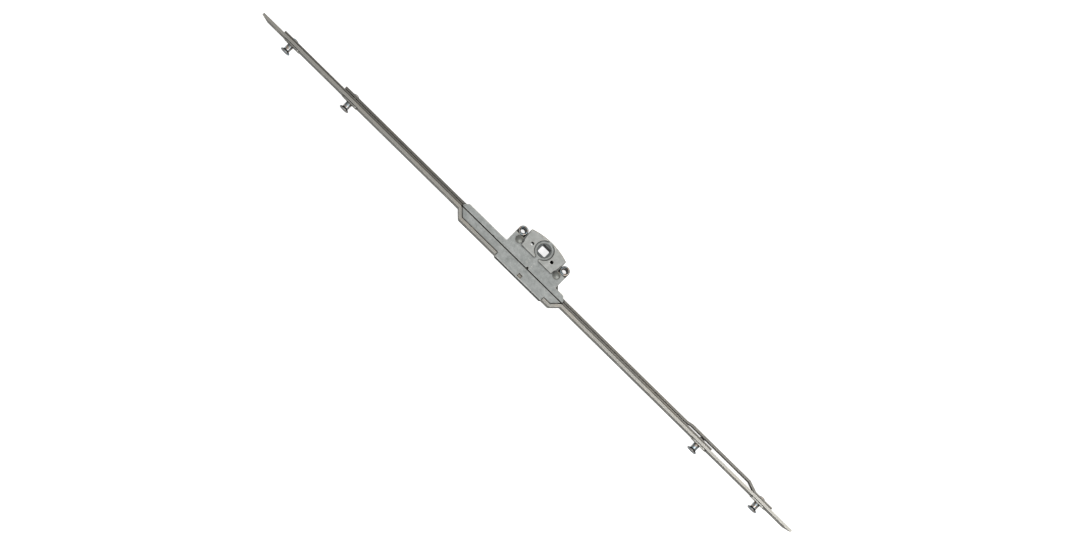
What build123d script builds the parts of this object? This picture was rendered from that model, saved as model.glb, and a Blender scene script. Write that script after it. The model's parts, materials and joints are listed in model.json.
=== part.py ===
from build123d import *
import os
from math import acos, cos, pi, radians, sin, tan

# Espagnolette window lock, in millimetres. X runs along the faceplate, -Y is the front that the rollers
# stand out of, and Z is the spindle's axis. The origin is on the spindle, halfway through the faceplate's width.

# Handle interface
SPINDLE = 7.0              # square spindle, across its flats
SPINDLE_PLAY = 0.05        # each side of the spindle
SOCKET_CORNER = 0.8
HANDLE_SCREWS = 43.0       # between the two handle screws
THREAD_BORE_R = 2.1        # core of an M5 thread

# Gears
MODULE = 0.8
PRESSURE_ANGLE = 25.0
ADDENDUM = 0.8 * MODULE
DEDENDUM = 1.0 * MODULE
TOOTH_THINNING = 0.07
HUB_TEETH = 16
WHEEL_TEETH = 20
PINION_TEETH = 9
HUB_TURN = 90.0            # each way from rest
GEAR_ROOM = 0.25           # round a turning gear

# Faceplate
LEFT_END = 30.8            # the faceplate reaches this far past its first roller
RIGHT_END = 32.0           # and this far past its last one
PLATE_SLANT = 5.7          # the ends are cut on the skew
PLATE_W = 16.0
PLATE_T = 2.0
PLATE_BACK = -19.4         # its back face along the two arms
PLATE_STEP = 6.0           # how far it steps forward round the casing
PLATE_BEND = 0.6
LEFT_END_SCREW = 15.3      # from the faceplate's end
RIGHT_END_SCREW = 15.9
LEFT_PAIR_SCREW = 1.5      # from the middle between two rollers
RIGHT_PAIR_SCREW = -1.65
LEFT_INNER_SCREW = 32.0    # from the second roller
RIGHT_INNER_SCREW = 33.4   # from the third roller
LEFT_CASE_SCREW = 13.8     # from the casing
RIGHT_CASE_SCREW = 11.4
RIGHT_MIDDLE_SCREW = 61.4
SCREW_HOLE_R = 2.1
SCREW_SINK_R = 3.1

# Drive rods
ROD_W = 10.0
ROD_T = 1.7
ROD_GAP = 0.2              # between the front rods and the faceplate
ROD_SPACE = 0.6            # between the front and the rear rods
ROD_TAIL = 10.2            # past its roller
ROD_BEND = 2.2
ROD_LIFT = 1.0             # the long rear rod lifts over the front rod's rivet
LIFT_LEAD = 17.0           # where the lift starts, ahead of that rivet
LIFT_RUN = 4.5
DROP_RUN = 9.0
DROP_LEAD = 15.9           # where the drop starts, ahead of the last roller
SCREW_PASS = 4.6           # the rods' slots let the faceplate's screws through

# Rollers
ROLLER_1 = -240.5
ROLLER_2 = -179.5
ROLLER_3 = 181.4
ROLLER_4 = 243.9
PIN_R = 1.8
PIN_PLAY = 0.15            # each side, in the faceplate's slots
SLOT_SHIFT = 0.6           # at rest each pin stands this far from the middle of its slot
RIM_H = 1.0                # pressed rim round each slot
RIM_WALL = 0.7
NECK_R = 2.6
NECK_L = 4.3
HEAD_R = 4.05
HEAD_FLARE = 1.6
HEAD_EDGE = 0.5
HEAD_CHAMFER = 0.35
SLEEVE_PLAY = 0.05
SLEEVE_END_PLAY = 0.15
RIVET_R = 3.3
RIVET_H = 1.3

# Casing
CASE_LEFT = -66.7
CASE_RIGHT = 36.6
COVER_T = 2.0
PANEL_H = 0.8              # raised panels of the cover
PANEL_CHAMFER = 0.2
CASE_FLOOR = 2.0
SEAM = -18.9               # between the gear case and the front case
STRIP_REAR = -13.7
STRIP_FRONT = -25.0
STRIP_CORNER = 3.3
BLOCK_HALF = 25.4
CROWN_GAP = 0.4            # between the cover's crown and the handle screws' bushes
CROWN_SIDE = 5.4
CROWN_TOP = 8.4
LUG_R = 3.9
CLAW_HALF = 24.0           # block that holds the faceplate
CLAW_FRONT = -28.3
CLAW_LIP = 0.8
CLAW_REACH = 3.4           # how far each lip reaches over the plate
NECK_CUT = 2.0             # the plate is narrower by this each side, inside the block
SEAM_GROOVE = 0.35         # the cover stops this far behind the seam
CASE_GAP = 0.4             # between the casing and the faceplate
SLIDE_GAP = 0.2
WEDGE = 3.2                # corner gusset
CHAMFER = 0.3
PANEL_REACH = 8.6          # the raised panels end here, in front of the spindle
KEYHOLE_R = 7.6            # the panels stop short of the spindle's ring
KEYHOLE_STEM = 1.9
NOTCH_HALF = 1.8           # small notch in the block's front edge

# Casing hardware
CASE_RIVET = (19.2, -6.7)
CASE_RIVET_R = 1.4
CASE_RIVET_HEAD_R = 3.0
CASE_RIVET_HEAD_H = 0.8
FIXED_PLAY = 0.02          # round what is pressed or riveted in
BUSH_R = 3.0
BUSH_FLANGE_R = 3.5
BUSH_FLANGE_H = 1.5
HUB_R = 5.75
HUB_BARREL_R = 6.5
RUN_PLAY = 0.05            # round what turns
AXLE_R = 1.5
AXLE_SEAT = 1.2
PEG_HOLE = (10.0, -2.3)
PEG_HOLE_R = 1.4
PEG_DEPTH = 9.0
SEAM_HOLE_R = 0.95
SEAM_NOTCH_X = -34.5
SEAM_RIVET_R = 0.6
SEAM_RIVET_HEAD_R = 1.1
SEAM_RIVET_HEAD_H = 0.5
SEAM_RIVET_LEFT = -50.0
SEAM_RIVET_RIGHT = 28.0
SEAM_RIVET_BITE = 3.0

# Sliders
UPPER_Z = -0.4             # the sliders and the pinion work above this level, the wheel below it
UPPER_TOP = 4.8
LAYER_GAP = 0.6
BAR_HALF = 12.4
BAR_REAR = -7.2
LEG_INNER = 10.5
LEG_OUTER = 18.5
LEG_REAR = -9.1
FRONT_SLIDER_HALF = 20.5
FRONT_SLIDER_T = 2.8
ROD_SHOULDER = 14.5        # the rods narrow to a tongue here
LINK_RIVET_X = 16.0
LINK_RIVET_R = 1.25
LINK_RIVET_HEAD_R = 2.0
LINK_BITE = 2.4

# Worked out from the sizes above
PLATE_LEFT = ROLLER_1 - LEFT_END
PLATE_RIGHT = ROLLER_4 + RIGHT_END
SCREW_XS = (PLATE_LEFT + LEFT_END_SCREW, (ROLLER_1 + ROLLER_2) / 2 + LEFT_PAIR_SCREW,
            ROLLER_2 + LEFT_INNER_SCREW, CASE_LEFT - LEFT_CASE_SCREW, CASE_RIGHT + RIGHT_CASE_SCREW,
            CASE_RIGHT + RIGHT_MIDDLE_SCREW, ROLLER_3 - RIGHT_INNER_SCREW,
            (ROLLER_3 + ROLLER_4) / 2 + RIGHT_PAIR_SCREW, PLATE_RIGHT - RIGHT_END_SCREW)
ROLLER_XS = (ROLLER_1, ROLLER_2, ROLLER_3, ROLLER_4)
SEAM_RIVET_XS = (SEAM_RIVET_LEFT, SEAM_RIVET_RIGHT)
CASE_BOTTOM = -PLATE_W / 2
CASE_TOP = PLATE_W / 2 - PANEL_H
CASE_SPLIT = CASE_TOP - COVER_T    # the gear case ends and its cover starts
HUB_PITCH_R = MODULE * HUB_TEETH / 2
WHEEL_PITCH_R = MODULE * WHEEL_TEETH / 2
PINION_PITCH_R = MODULE * PINION_TEETH / 2
AXLE_Y = -(HUB_PITCH_R + WHEEL_PITCH_R)
TRAVEL = radians(HUB_TURN) * HUB_PITCH_R * PINION_PITCH_R / WHEEL_PITCH_R
REAR_RACK = AXLE_Y + PINION_PITCH_R
FRONT_RACK = AXLE_Y - PINION_PITCH_R
PLATE_FRONT = PLATE_BACK - PLATE_T
FRONT_ROD = PLATE_BACK + ROD_GAP
REAR_ROD = FRONT_ROD + ROD_T + ROD_SPACE
SLOT_L = 2 * (TRAVEL + SLOT_SHIFT + PIN_R + PIN_PLAY)
SLOT_W = 2 * (PIN_R + PIN_PLAY)
NECK_BACK = PLATE_FRONT - RIM_H - SLEEVE_END_PLAY
HEAD_BACK = NECK_BACK - NECK_L - SLEEVE_END_PLAY
GEAR_FLOOR = CASE_BOTTOM + CASE_FLOOR
GEAR_Z = GEAR_FLOOR + SLIDE_GAP
GEAR_TOP = UPPER_Z - LAYER_GAP
UPPER_H = UPPER_TOP - UPPER_Z
UPPER_MID = (UPPER_Z + UPPER_TOP) / 2
LEDGE_Z = UPPER_Z - SLIDE_GAP
SCREW_X = HANDLE_SCREWS / 2
CROWN_HALF = SCREW_X - BUSH_FLANGE_R - CROWN_GAP
LUG_LEDGE = -(BUSH_FLANGE_R + SLIDE_GAP)   # the cover stops here, in front of each lug
PANEL_TOP = CASE_TOP + PANEL_H
POCKET_TOP = CASE_SPLIT
CHANNEL_HALF = ROD_W / 2 + SLIDE_GAP
LEG_POCKET = LEG_OUTER + TRAVEL + 2 * SLIDE_GAP
BAR_POCKET = BAR_HALF + TRAVEL + SLIDE_GAP
FRONT_POCKET = FRONT_SLIDER_HALF + TRAVEL + 2 * SLIDE_GAP
MID_PLATE_BACK = PLATE_BACK - PLATE_STEP
STRIP_DEPTH = SEAM - STRIP_FRONT

os.makedirs("parts", exist_ok=True)


def finish(part, label):
    part.label = label
    export_step(part, f"parts/{label}.step")
    print(label, round(part.volume, 1))


def involute(angle):
    return tan(angle) - angle


def gear_outline(teeth, tooth_at):
    """Draws a spur gear into the open sketch, with one tooth centred on the angle tooth_at."""
    pitch_r = MODULE * teeth / 2
    base_r = pitch_r * cos(radians(PRESSURE_ANGLE))
    root_r, tip_r = pitch_r - DEDENDUM, pitch_r + ADDENDUM
    half_pitch = (pi * MODULE / 2 - TOOTH_THINNING) / 2 / pitch_r + involute(radians(PRESSURE_ANGLE))
    start_r = max(base_r, root_r)

    def flank(radius, side):
        half = half_pitch - involute(acos(min(1.0, base_r / radius)))
        return (radius * cos(half), side * radius * sin(half))

    foot = half_pitch - involute(acos(min(1.0, base_r / start_r)))
    sunk_r = root_r - DEDENDUM / 2
    radii = (start_r, (start_r + tip_r) / 2, tip_r)
    with BuildSketch(mode=Mode.PRIVATE) as tooth:
        with BuildLine():
            low = Line((sunk_r * cos(foot), -sunk_r * sin(foot)), flank(start_r, -1))
            ThreePointArc(*[flank(radius, -1) for radius in radii])
            Line(flank(tip_r, -1), flank(tip_r, 1))
            ThreePointArc(*[flank(radius, 1) for radius in reversed(radii)])
            high = Line(flank(start_r, 1), (sunk_r * cos(foot), sunk_r * sin(foot)))
            Line(high @ 1, low @ 0)
        make_face()
    Circle(root_r)
    with PolarLocations(0, teeth, start_angle=tooth_at):
        add(tooth.sketch)


def rack_teeth(count, pitch_y, towards):
    """Draws rack teeth centred on X = 0 that point along Y in the direction of towards."""
    half = (pi * MODULE / 2 - TOOTH_THINNING) / 2
    tip = half - ADDENDUM * tan(radians(PRESSURE_ANGLE))
    root = half + DEDENDUM * tan(radians(PRESSURE_ANGLE))
    tip_y, root_y = pitch_y + towards * ADDENDUM, pitch_y - towards * DEDENDUM
    for index in range(count):
        x = (index - (count - 1) / 2) * pi * MODULE
        Polygon((x - root, root_y), (x - tip, tip_y), (x + tip, tip_y), (x + root, root_y), align=None)


def block(x_range, y_range, z_range, mode=Mode.ADD):
    """A box between two X, two Y and two Z values."""
    with BuildSketch(Plane.XY.offset(z_range[0])) as footprint:
        with Locations(((x_range[0] + x_range[1]) / 2, (y_range[0] + y_range[1]) / 2)):
            Rectangle(abs(x_range[1] - x_range[0]), abs(y_range[1] - y_range[0]))
    extrude(footprint.sketch, amount=z_range[1] - z_range[0], mode=mode)


def strip(points, bend, thickness, side, width):
    """A flat strip standing on edge. One face follows the points, and its thickness lies to one side."""
    slopes = [(b[1] - a[1]) / (b[0] - a[0]) for a, b in zip(points, points[1:])]
    with BuildSketch(Plane.XY.offset(-width / 2)) as section:
        with BuildLine():
            if len(points) > 2:
                turns_left = [after > before for before, after in zip(slopes, slopes[1:])]
                FilletPolyline(*points, radius=[bend + thickness if left == (side == Side.LEFT) else bend
                                                for left in turns_left])
            else:
                Line(*points)
            offset(amount=thickness, side=side)
        make_face()
    extrude(section.sketch, amount=width)


def make_faceplate():
    slope = PLATE_STEP
    left = CASE_LEFT + (SEAM - PLATE_BACK) - CASE_GAP * 2 ** 0.5
    right = CASE_RIGHT - (SEAM - PLATE_BACK) + CASE_GAP * 2 ** 0.5
    back = [(PLATE_LEFT, PLATE_BACK), (left, PLATE_BACK), (left + slope, MID_PLATE_BACK),
            (right - slope, MID_PLATE_BACK), (right, PLATE_BACK), (PLATE_RIGHT, PLATE_BACK)]
    with BuildPart() as plate:
        strip(back, PLATE_BEND, PLATE_T, Side.RIGHT, PLATE_W)
        with BuildSketch(Plane.XZ.offset(-PLATE_FRONT)):
            for index, x in enumerate(ROLLER_XS):
                with Locations((slot_middle(index), 0)):
                    SlotOverall(SLOT_L + 2 * RIM_WALL, SLOT_W + 2 * RIM_WALL)
        extrude(amount=RIM_H)
        with BuildSketch(Plane.XZ.offset(-PLATE_BACK)):
            for index, x in enumerate(ROLLER_XS):
                with Locations((slot_middle(index), 0)):
                    SlotOverall(SLOT_L, SLOT_W)
            for tip, inward in ((PLATE_LEFT, 1), (PLATE_RIGHT, -1)):
                with BuildLine():
                    Polyline((tip, PLATE_W / 2), (tip, -PLATE_W / 2),
                             (tip + inward * PLATE_SLANT, -PLATE_W / 2), close=True)
                make_face()
        extrude(amount=PLATE_T + RIM_H, mode=Mode.SUBTRACT)
        for side in (1, -1):
            block((-CLAW_HALF - SLIDE_GAP, CLAW_HALF + SLIDE_GAP),
                  (MID_PLATE_BACK, MID_PLATE_BACK - PLATE_T),
                  (side * (PLATE_W / 2 - NECK_CUT), side * PLATE_W / 2), mode=Mode.SUBTRACT)
        with Locations(*[Plane.XZ.offset(-PLATE_FRONT) * Pos(x, 0, 0) for x in SCREW_XS]):
            CounterSinkHole(SCREW_HOLE_R, SCREW_SINK_R, depth=PLATE_T, counter_sink_angle=90)
    finish(plate.part, "faceplate")


def slot_middle(index):
    """The front rods carry the first and third rollers, and the rear rods the other two."""
    return ROLLER_XS[index] + (SLOT_SHIFT if index % 2 == 0 else -SLOT_SHIFT)


def gear_case_outline():
    """The rear casting seen along the spindle."""
    Polygon((CASE_LEFT, SEAM), (CASE_LEFT, STRIP_REAR - STRIP_CORNER), (CASE_LEFT + STRIP_CORNER, STRIP_REAR),
            (CASE_RIGHT - STRIP_CORNER, STRIP_REAR), (CASE_RIGHT, STRIP_REAR - STRIP_CORNER),
            (CASE_RIGHT, SEAM), align=None)


def crown_outline():
    """The arched rear edge of the block, over the spindle."""
    with BuildLine() as outline:
        ThreePointArc((-CROWN_HALF, CROWN_SIDE), (0, CROWN_TOP), (CROWN_HALF, CROWN_SIDE))
        Polyline((CROWN_HALF, CROWN_SIDE), (CROWN_HALF, STRIP_REAR), (-CROWN_HALF, STRIP_REAR),
                 (-CROWN_HALF, CROWN_SIDE))
    make_face(outline.edges())


def make_gear_case():
    with BuildPart() as case:
        with BuildSketch(Plane.XY.offset(CASE_BOTTOM)):
            gear_case_outline()
            crown_outline()
            with Locations((0, STRIP_REAR / 2)):
                Rectangle(2 * BLOCK_HALF, -STRIP_REAR)
            with Locations((SCREW_X, 0), (-SCREW_X, 0)):
                Circle(LUG_R)
        extrude(amount=CASE_SPLIT - CASE_BOTTOM)
        with BuildSketch(Plane.XY.offset(CASE_BOTTOM)):
            with BuildLine():
                Polyline((BLOCK_HALF, STRIP_REAR), (BLOCK_HALF + WEDGE, STRIP_REAR),
                         (BLOCK_HALF, STRIP_REAR + WEDGE), close=True)
            make_face()
        extrude(amount=-CASE_BOTTOM)
        with BuildSketch(Plane.XY.offset(GEAR_FLOOR)):
            Circle(HUB_PITCH_R + ADDENDUM + GEAR_ROOM)
            with Locations((0, AXLE_Y)):
                Circle(WHEEL_PITCH_R + ADDENDUM + GEAR_ROOM)
        extrude(amount=POCKET_TOP - GEAR_FLOOR, mode=Mode.SUBTRACT)
        block((-BAR_POCKET, BAR_POCKET), (STRIP_REAR, BAR_REAR + SLIDE_GAP), (LEDGE_Z, POCKET_TOP), Mode.SUBTRACT)
        block((-LEG_POCKET, LEG_POCKET), (SEAM, LEG_REAR + SLIDE_GAP), (LEDGE_Z, POCKET_TOP), Mode.SUBTRACT)
        block((CASE_LEFT, CASE_RIGHT), (SEAM, REAR_ROD + ROD_T + SLIDE_GAP), (-CHANNEL_HALF, POCKET_TOP),
              Mode.SUBTRACT)
        with BuildSketch(Plane.XY.offset(CASE_BOTTOM)):
            Circle(HUB_R + RUN_PLAY)
            with Locations((-PEG_HOLE[0], PEG_HOLE[1])):
                Circle(PEG_HOLE_R)
            with Locations((SCREW_X, 0), (-SCREW_X, 0)):
                Circle(BUSH_R + FIXED_PLAY)
            with Locations(CASE_RIVET, (-CASE_RIVET[0], CASE_RIVET[1])):
                Circle(CASE_RIVET_R + FIXED_PLAY)
        extrude(amount=CASE_SPLIT - CASE_BOTTOM, mode=Mode.SUBTRACT)
        with Locations((0, AXLE_Y, GEAR_FLOOR)):
            Hole(AXLE_R + FIXED_PLAY, depth=AXLE_SEAT)
        with Locations((PEG_HOLE[0], PEG_HOLE[1], CASE_SPLIT)):
            Hole(PEG_HOLE_R, depth=PEG_DEPTH)
        seam_rivet_holes(CASE_BOTTOM / 2 - CHANNEL_HALF / 2)
    finish(case.part, "gear_case")


def seam_rivet_holes(z):
    """Holes along Y for the rivets that hold the front case, cut from the seam to the rear."""
    with BuildSketch(Plane.XZ.offset(-SEAM)) as holes:
        with Locations(*[(x, z) for x in SEAM_RIVET_XS]):
            Circle(SEAM_RIVET_R + FIXED_PLAY)
    extrude(holes.sketch, amount=-SEAM_RIVET_BITE, mode=Mode.SUBTRACT)


def make_gear_cover():
    with BuildPart() as cover:
        with BuildSketch(Plane.XY.offset(CASE_SPLIT)):
            gear_case_outline()
            crown_outline()
            with Locations((0, (STRIP_REAR + LUG_LEDGE) / 2)):
                Rectangle(2 * BLOCK_HALF, LUG_LEDGE - STRIP_REAR)
        extrude(amount=CASE_TOP - CASE_SPLIT)
        block((CASE_LEFT, CASE_RIGHT), (SEAM, SEAM + SEAM_GROOVE), (CASE_SPLIT, CASE_TOP), Mode.SUBTRACT)
        chamfer(cover.edges().group_by(Axis.Z)[-1], CHAMFER)
        with BuildSketch(Plane.XY.offset(CASE_TOP)) as panels:
            with BuildLine():
                ThreePointArc((-CROWN_HALF + CHAMFER, CROWN_SIDE - 2 * CHAMFER), (0, CROWN_TOP - 2 * CHAMFER),
                              (CROWN_HALF - CHAMFER, CROWN_SIDE - 2 * CHAMFER))
                Polyline((CROWN_HALF - CHAMFER, CROWN_SIDE - 2 * CHAMFER), (CROWN_HALF - 4 * CHAMFER, LUG_LEDGE),
                         (CROWN_HALF - 8 * CHAMFER, -PANEL_REACH), (-CROWN_HALF + 8 * CHAMFER, -PANEL_REACH),
                         (-CROWN_HALF + 4 * CHAMFER, LUG_LEDGE), (-CROWN_HALF + CHAMFER, CROWN_SIDE - 2 * CHAMFER))
            make_face()
            Circle(KEYHOLE_R, mode=Mode.SUBTRACT)
            with Locations((0, -PANEL_REACH)):
                Rectangle(2 * KEYHOLE_STEM, 2 * PANEL_REACH, mode=Mode.SUBTRACT)
            with Locations((0, CROWN_TOP)):
                Rectangle(2 * KEYHOLE_STEM, CROWN_TOP, mode=Mode.SUBTRACT)
            with Locations(CASE_RIVET, (-CASE_RIVET[0], CASE_RIVET[1])):
                Circle(CASE_RIVET_HEAD_R + PANEL_H, mode=Mode.SUBTRACT)
        extrude(amount=PANEL_H)
        chamfer(cover.edges().group_by(Axis.Z)[-1], PANEL_CHAMFER)
        with BuildSketch(Plane.XY.offset(CASE_SPLIT)):
            Circle(HUB_R + RUN_PLAY)
            with Locations(PEG_HOLE, (-PEG_HOLE[0], PEG_HOLE[1])):
                Circle(PEG_HOLE_R)
            with Locations(CASE_RIVET, (-CASE_RIVET[0], CASE_RIVET[1])):
                Circle(CASE_RIVET_R + FIXED_PLAY)
        extrude(amount=PANEL_TOP - CASE_SPLIT, mode=Mode.SUBTRACT)
        with BuildSketch(Plane.XY.offset(CASE_TOP)):
            with Locations((0, SEAM + SEAM_HOLE_R), (SEAM_NOTCH_X, SEAM)):
                Circle(SEAM_HOLE_R)
        extrude(amount=CASE_SPLIT - CASE_TOP, mode=Mode.SUBTRACT)
        with BuildSketch(Plane.XY.offset(CASE_SPLIT)):
            with Locations((0, AXLE_Y)):
                Circle(AXLE_R + FIXED_PLAY)
        extrude(amount=AXLE_SEAT, mode=Mode.SUBTRACT)
        seam_rivet_holes((CASE_SPLIT + CASE_TOP) / 2)
    finish(cover.part, "gear_cover")


def make_front_case():
    with BuildPart() as case:
        with BuildSketch(Plane.XY.offset(CASE_BOTTOM)):
            with BuildLine():
                Polyline((CASE_LEFT, SEAM), (CASE_LEFT + STRIP_DEPTH, STRIP_FRONT),
                         (CASE_RIGHT - STRIP_DEPTH, STRIP_FRONT), (CASE_RIGHT, SEAM), close=True)
            make_face()
            with Locations((0, (SEAM + CLAW_FRONT) / 2)):
                Rectangle(2 * CLAW_HALF, SEAM - CLAW_FRONT)
        extrude(amount=CASE_TOP - CASE_BOTTOM)
        chamfer(case.edges().filter_by(Axis.Z).group_by(Axis.Y)[0], 3 * CHAMFER)
        chamfer(case.edges().group_by(Axis.Z)[-1], CHAMFER)
        block((CASE_LEFT, CASE_RIGHT), (SEAM, PLATE_BACK), (-CHANNEL_HALF, CHANNEL_HALF), Mode.SUBTRACT)
        block((-FRONT_POCKET, FRONT_POCKET), (SEAM, FRONT_ROD - FRONT_SLIDER_T - SLIDE_GAP),
              (LEDGE_Z, CHANNEL_HALF), Mode.SUBTRACT)
        with BuildSketch(Plane.XY.offset(GEAR_FLOOR)):
            with Locations((0, AXLE_Y)):
                Circle(WHEEL_PITCH_R + ADDENDUM + GEAR_ROOM)
        extrude(amount=CHANNEL_HALF - GEAR_FLOOR, mode=Mode.SUBTRACT)
        block((-CLAW_HALF, CLAW_HALF), (MID_PLATE_BACK + SLIDE_GAP, CLAW_FRONT + CLAW_LIP),
              (-PLATE_W / 2 + NECK_CUT - SLIDE_GAP, PLATE_W / 2 - NECK_CUT + SLIDE_GAP), Mode.SUBTRACT)
        block((-CLAW_HALF, CLAW_HALF), (CLAW_FRONT, CLAW_FRONT + CLAW_LIP),
              (-PLATE_W / 2 + CLAW_REACH, PLATE_W / 2 - CLAW_REACH), Mode.SUBTRACT)
        block((-NOTCH_HALF, NOTCH_HALF), (CLAW_FRONT + CLAW_LIP, CLAW_FRONT + 2 * NOTCH_HALF),
              (PLATE_W / 2 - NECK_CUT, CASE_TOP), Mode.SUBTRACT)
        with BuildSketch(Plane.XZ.offset(-SEAM)):
            with Locations(*seam_rivet_places()):
                Circle(SEAM_RIVET_R + FIXED_PLAY)
        extrude(amount=STRIP_DEPTH, mode=Mode.SUBTRACT)
        with BuildSketch(Plane.XZ.offset(-STRIP_FRONT)):
            with Locations(*seam_rivet_places()):
                Circle(SEAM_RIVET_HEAD_R + FIXED_PLAY)
        extrude(amount=-SEAM_RIVET_HEAD_H, mode=Mode.SUBTRACT)
    finish(case.part, "front_case")


def seam_rivet_places():
    levels = ((CASE_SPLIT + CASE_TOP) / 2, CASE_BOTTOM / 2 - CHANNEL_HALF / 2)
    return [(x, z) for x in SEAM_RIVET_XS for z in levels]


def make_hub():
    with BuildPart() as hub:
        with BuildSketch(Plane.XY.offset(CASE_BOTTOM)):
            Circle(HUB_R)
        extrude(amount=CASE_TOP - CASE_BOTTOM)
        with BuildSketch(Plane.XY.offset(GEAR_Z)):
            gear_outline(HUB_TEETH, -90)
        extrude(amount=GEAR_TOP - GEAR_Z)
        with BuildSketch(Plane.XY.offset(GEAR_TOP)):
            Circle(HUB_BARREL_R)
        extrude(amount=CASE_SPLIT - SLIDE_GAP - GEAR_TOP)
        with BuildSketch(Plane.XY.offset(CASE_BOTTOM)):
            RectangleRounded(SPINDLE + 2 * SPINDLE_PLAY, SPINDLE + 2 * SPINDLE_PLAY, SOCKET_CORNER)
        extrude(amount=CASE_TOP - CASE_BOTTOM, mode=Mode.SUBTRACT)
    finish(hub.part, "spindle_hub")


def make_idler():
    with BuildPart() as idler:
        with BuildSketch(Plane((0, AXLE_Y, GEAR_Z))):
            gear_outline(WHEEL_TEETH, 90 + 180 / WHEEL_TEETH)
        extrude(amount=GEAR_TOP - GEAR_Z)
        with BuildSketch(Plane((0, AXLE_Y, GEAR_TOP))):
            gear_outline(PINION_TEETH, 90)
        extrude(amount=UPPER_TOP - GEAR_TOP)
        with BuildSketch(Plane((0, AXLE_Y, GEAR_Z))):
            Circle(AXLE_R + RUN_PLAY)
        extrude(amount=UPPER_TOP - GEAR_Z, mode=Mode.SUBTRACT)
    finish(idler.part, "idler_gear")
    with BuildPart() as axle:
        with BuildSketch(Plane((0, AXLE_Y, GEAR_FLOOR - AXLE_SEAT))):
            Circle(AXLE_R)
        extrude(amount=CASE_SPLIT - GEAR_FLOOR + 2 * AXLE_SEAT)
    finish(axle.part, "idler_axle")


def make_rear_slider():
    """Moves with the rear rods. Its bar reaches over the pinion, and a leg at each end takes a rod."""
    with BuildPart() as slider:
        with BuildSketch(Plane.XY.offset(UPPER_Z)):
            with Locations((0, (BAR_REAR + REAR_RACK + DEDENDUM) / 2)):
                Rectangle(2 * BAR_HALF, BAR_REAR - REAR_RACK - DEDENDUM)
            rack_teeth(8, REAR_RACK, -1)
            for side in (1, -1):
                with Locations((side * (LEG_INNER + LEG_OUTER) / 2, (LEG_REAR + REAR_ROD + ROD_T) / 2)):
                    Rectangle(LEG_OUTER - LEG_INNER, LEG_REAR - REAR_ROD - ROD_T)
        extrude(amount=UPPER_H)
        link_rivet_holes(REAR_ROD + ROD_T, 1)
    finish(slider.part, "rear_slider")


def make_front_slider():
    with BuildPart() as slider:
        with BuildSketch(Plane.XY.offset(UPPER_Z)):
            with Locations((0, FRONT_ROD - FRONT_SLIDER_T / 2)):
                Rectangle(2 * FRONT_SLIDER_HALF, FRONT_SLIDER_T)
            with Locations((0, (FRONT_ROD + FRONT_RACK - DEDENDUM) / 2)):
                Rectangle(8 * pi * MODULE, FRONT_RACK - DEDENDUM - FRONT_ROD)
            rack_teeth(7, FRONT_RACK, 1)
        extrude(amount=UPPER_H)
        link_rivet_holes(FRONT_ROD, -1)
    finish(slider.part, "front_slider")


def link_rivet_holes(face_y, towards):
    """Blind holes along Y in a slider, from the face that its rods lie against."""
    with BuildSketch(Plane.XZ.offset(-face_y)) as holes:
        with Locations((LINK_RIVET_X, UPPER_MID), (-LINK_RIVET_X, UPPER_MID)):
            Circle(LINK_RIVET_R + FIXED_PLAY)
    extrude(holes.sketch, amount=-towards * (LINK_BITE + FIXED_PLAY), mode=Mode.SUBTRACT)


def make_link_rivets(label, head_y, towards):
    """Two countersunk rivets that join a pair of rods to their slider."""
    with BuildPart() as rivets:
        for side in (1, -1):
            with BuildSketch(Plane((side * LINK_RIVET_X, head_y, UPPER_MID))):
                with BuildLine():
                    Polyline((0, 0), (LINK_RIVET_HEAD_R, 0),
                             (LINK_RIVET_R, towards * (LINK_RIVET_HEAD_R - LINK_RIVET_R)),
                             (LINK_RIVET_R, towards * (ROD_T + LINK_BITE)),
                             (0, towards * (ROD_T + LINK_BITE)), close=True)
                make_face()
            revolve(axis=Axis((side * LINK_RIVET_X, 0, UPPER_MID), (0, 1, 0)))
    finish(rivets.part, label)


def make_rod(label, line, rollers, passes, head_y, towards):
    """A drive rod. line is its front face, from the slider outwards. rollers are held, passes go through slots."""
    inward = 1 if line[-1][0] < 0 else -1
    points = line if line[-1][0] > 0 else list(reversed(line))
    with BuildPart() as rod:
        strip(points, ROD_BEND, ROD_T, Side.LEFT, ROD_W)
        front = min(y for x, y in line)
        depth = max(y for x, y in line) + ROD_T - front
        for z_range in ((-ROD_W / 2, UPPER_Z), (UPPER_TOP, ROD_W / 2)):
            block((-inward * LEG_INNER, -inward * ROD_SHOULDER), (line[0][1], line[0][1] + ROD_T),
                  z_range, Mode.SUBTRACT)
        with BuildSketch(Plane.XZ.offset(-front)):
            for x in rollers:
                with Locations((x, 0)):
                    Circle(PIN_R + FIXED_PLAY)
            for x in passes:
                with Locations((x, 0)):
                    SlotOverall(2 * (2 * TRAVEL + PIN_R + PIN_PLAY), SLOT_W)
            for x in SCREW_XS:
                with Locations((x, 0)):
                    SlotOverall(2 * (TRAVEL + SLIDE_GAP) + SCREW_PASS, SCREW_PASS)
        extrude(amount=-depth, mode=Mode.SUBTRACT)
        with BuildSketch(Plane((-inward * LINK_RIVET_X, head_y, UPPER_MID))):
            with BuildLine():
                Polyline((0, 0), (LINK_RIVET_HEAD_R + FIXED_PLAY, 0),
                         (LINK_RIVET_R + FIXED_PLAY, towards * (LINK_RIVET_HEAD_R - LINK_RIVET_R)),
                         (LINK_RIVET_R + FIXED_PLAY, towards * ROD_T), (0, towards * ROD_T), close=True)
            make_face()
        revolve(axis=Axis((-inward * LINK_RIVET_X, 0, UPPER_MID), (0, 1, 0)), mode=Mode.SUBTRACT)
    finish(rod.part, label)


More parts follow.
